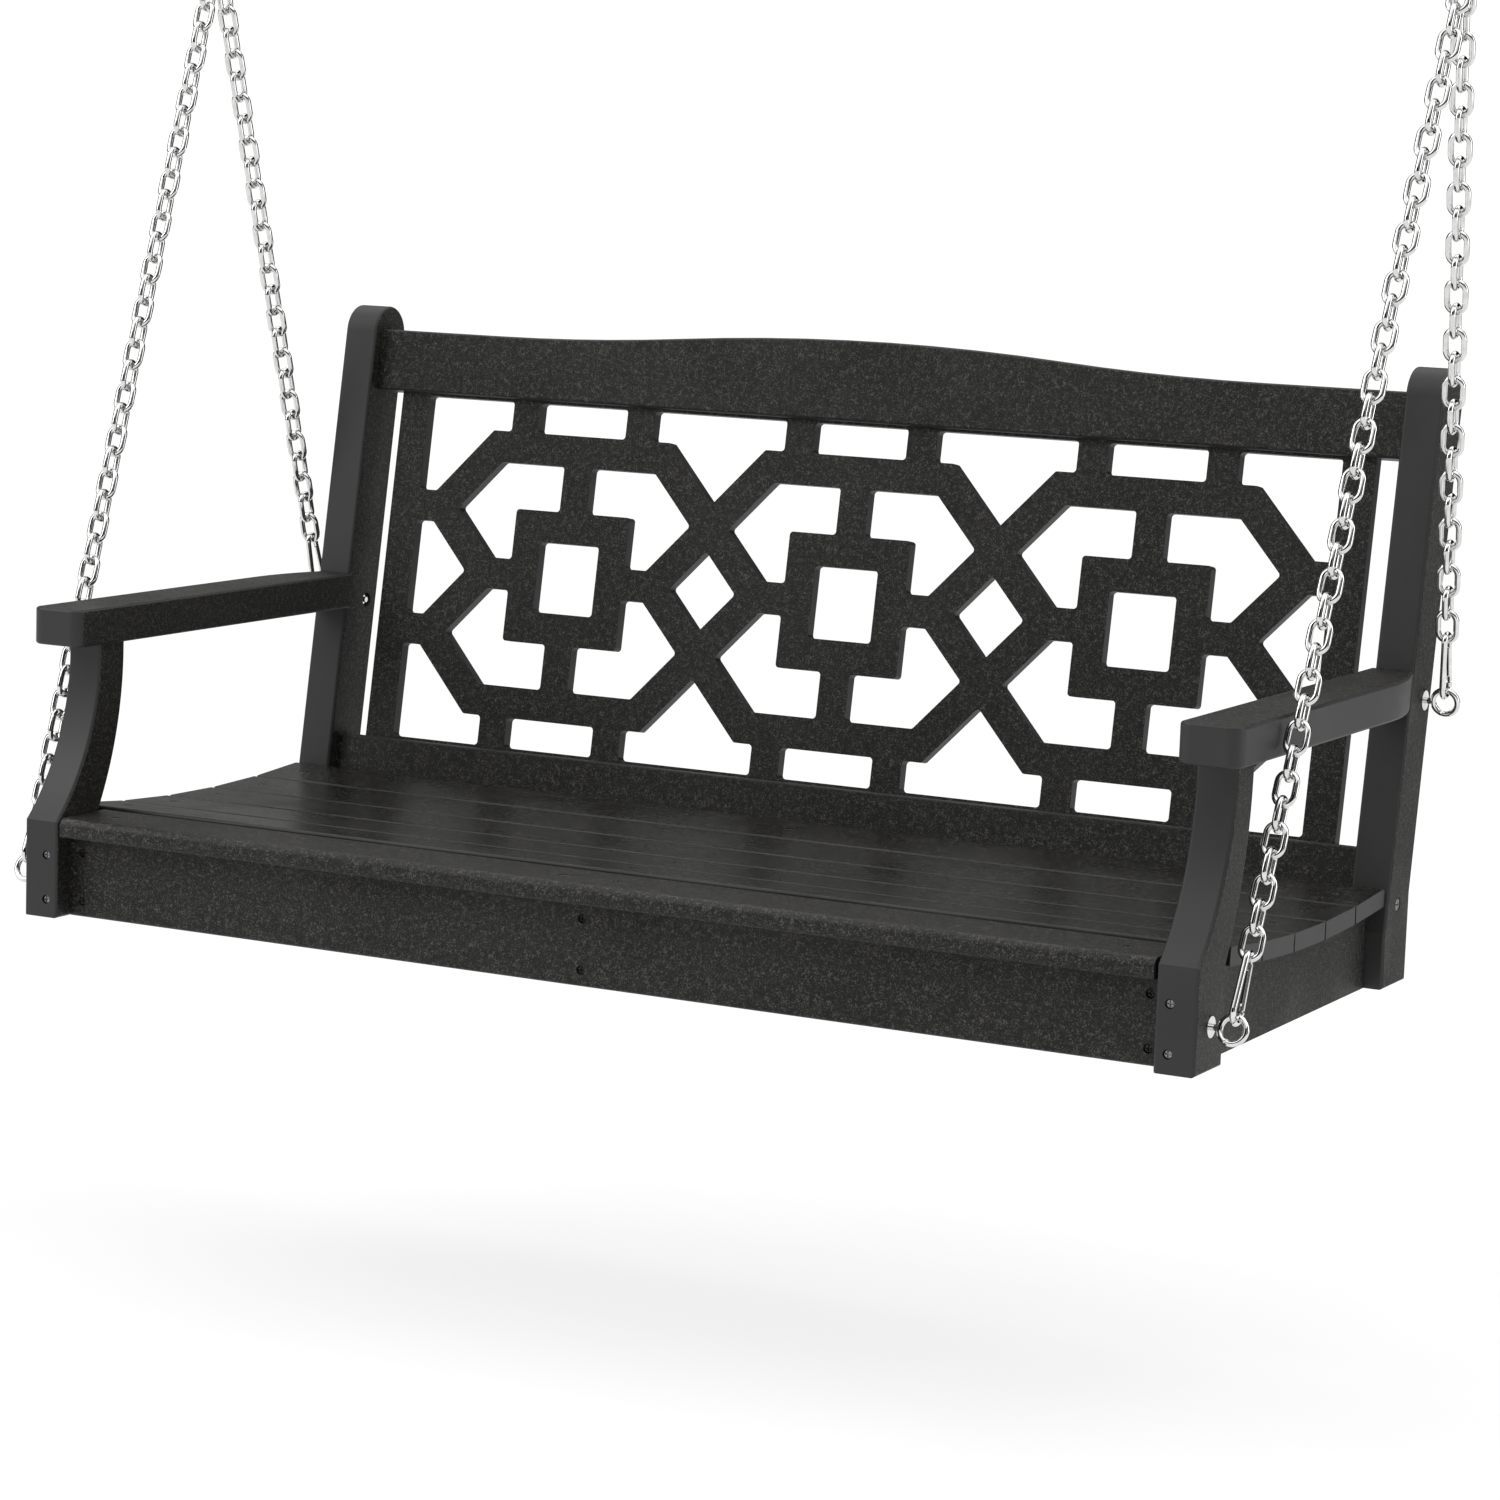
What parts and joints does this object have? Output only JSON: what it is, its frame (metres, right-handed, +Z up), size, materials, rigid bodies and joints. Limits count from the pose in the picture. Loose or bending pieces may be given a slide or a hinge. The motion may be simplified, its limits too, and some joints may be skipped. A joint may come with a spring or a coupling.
{
  "type": "porch swing",
  "caption": "Porch swing with dished slatted seat, square-and-diamond lattice back and flat arms, hung by link chains and snap hooks from ceiling screw hooks.",
  "frame": {"origin": "on the ceiling plane, midway between the two ceiling screw hooks, straight above the line the swing turns about", "axes": "+X across the swing, to the right of someone facing it; +Y from its front edge to its back; +Z up"},
  "size_m": [1.451, 0.6057, 1.1465],
  "materials": {
    "post_board": "matte",
    "rail_board": "matte",
    "lattice_board": "matte",
    "slat_board": "matte",
    "arm_board": "matte",
    "dowel_plastic": "satin",
    "screw_steel": "satin",
    "eyebolt_zinc": "satin",
    "washer_zinc": "satin",
    "hook_zinc": "satin",
    "gate_zinc": "satin",
    "chain_zinc": "satin",
    "ring_zinc": "satin",
    "ceiling_hook_zinc": "satin"
  },
  "bodies": {
    "ceiling_hooks": {"ceiling_hook_l": "ceiling_hook_zinc", "ceiling_hook_r": "ceiling_hook_zinc"},
    "swing": {"front_post_l": "post_board", "front_post_r": "post_board", "back_post_l": "post_board", "back_post_r": "post_board", "side_rail_l": "rail_board", "side_rail_r": "rail_board", "front_rail": "rail_board", "centre_rail": "rail_board", "lower_back_rail": "rail_board", "top_back_rail": "rail_board", "lattice_panel": "lattice_board", "seat_slat_1": "slat_board", "seat_slat_2": "slat_board", "seat_slat_3": "slat_board", "seat_slat_4": "slat_board", "seat_slat_5": "slat_board", "seat_slat_6": "slat_board", "armrest_l": "arm_board", "armrest_r": "arm_board", "back_rail_dowels": "dowel_plastic", "arm_dowels": "dowel_plastic", "post_screws": "screw_steel", "front_rail_screws": "screw_steel", "slat_screws": "screw_steel", "arm_screws": "screw_steel", "back_bolts": "screw_steel", "eyebolt_front_l": "eyebolt_zinc", "eyebolt_front_r": "eyebolt_zinc", "eyebolt_rear_l": "eyebolt_zinc", "eyebolt_rear_r": "eyebolt_zinc", "eye_washers": "washer_zinc", "pocket_washers": "washer_zinc", "eye_nuts": "washer_zinc", "snap_hook_front_l": "hook_zinc", "snap_hook_front_r": "hook_zinc", "snap_hook_rear_l": "hook_zinc", "snap_hook_rear_r": "hook_zinc", "gate_pins": "gate_zinc", "chain_front_l": "chain_zinc", "chain_front_r": "chain_zinc", "chain_rear_l": "chain_zinc", "chain_rear_r": "chain_zinc", "hanging_ring_l": "ring_zinc", "hanging_ring_r": "ring_zinc"},
    "snap_gate_front_l": {"snap_gate_front_l": "gate_zinc"},
    "snap_gate_front_r": {"snap_gate_front_r": "gate_zinc"},
    "snap_gate_rear_l": {"snap_gate_rear_l": "gate_zinc"},
    "snap_gate_rear_r": {"snap_gate_rear_r": "gate_zinc"}
  },
  "joints": [
    {"name": "swing_hinge", "type": "hinge", "parent": "ceiling_hooks", "child": "swing", "pos_m": [0, 0, -0.05771], "axis": [1, 0, 0], "range_deg": [-30, 30]},
    {"name": "gate_front_l", "type": "hinge", "parent": "swing", "child": "snap_gate_front_l", "pos_m": [-0.66913, -0.27552, -0.98515], "axis": [-0.9994, -0.0104, -0.0338], "range_deg": [0, 18], "stiffness_Nm_per_rad": 0.05, "springref_deg": -20.05},
    {"name": "gate_front_r", "type": "hinge", "parent": "swing", "child": "snap_gate_front_r", "pos_m": [0.66913, -0.27552, -0.98515], "axis": [-0.9994, 0.0104, 0.0338], "range_deg": [0, 18], "stiffness_Nm_per_rad": 0.05, "springref_deg": -20.05},
    {"name": "gate_rear_l", "type": "hinge", "parent": "swing", "child": "snap_gate_rear_l", "pos_m": [-0.66998, 0.20889, -0.70401], "axis": [-0.9988, 0.0149, -0.047], "range_deg": [0, 18], "stiffness_Nm_per_rad": 0.05, "springref_deg": -20.05},
    {"name": "gate_rear_r", "type": "hinge", "parent": "swing", "child": "snap_gate_rear_r", "pos_m": [0.66998, 0.20889, -0.70401], "axis": [-0.9988, -0.0149, 0.047], "range_deg": [0, 18], "stiffness_Nm_per_rad": 0.05, "springref_deg": -20.05}
  ]
}
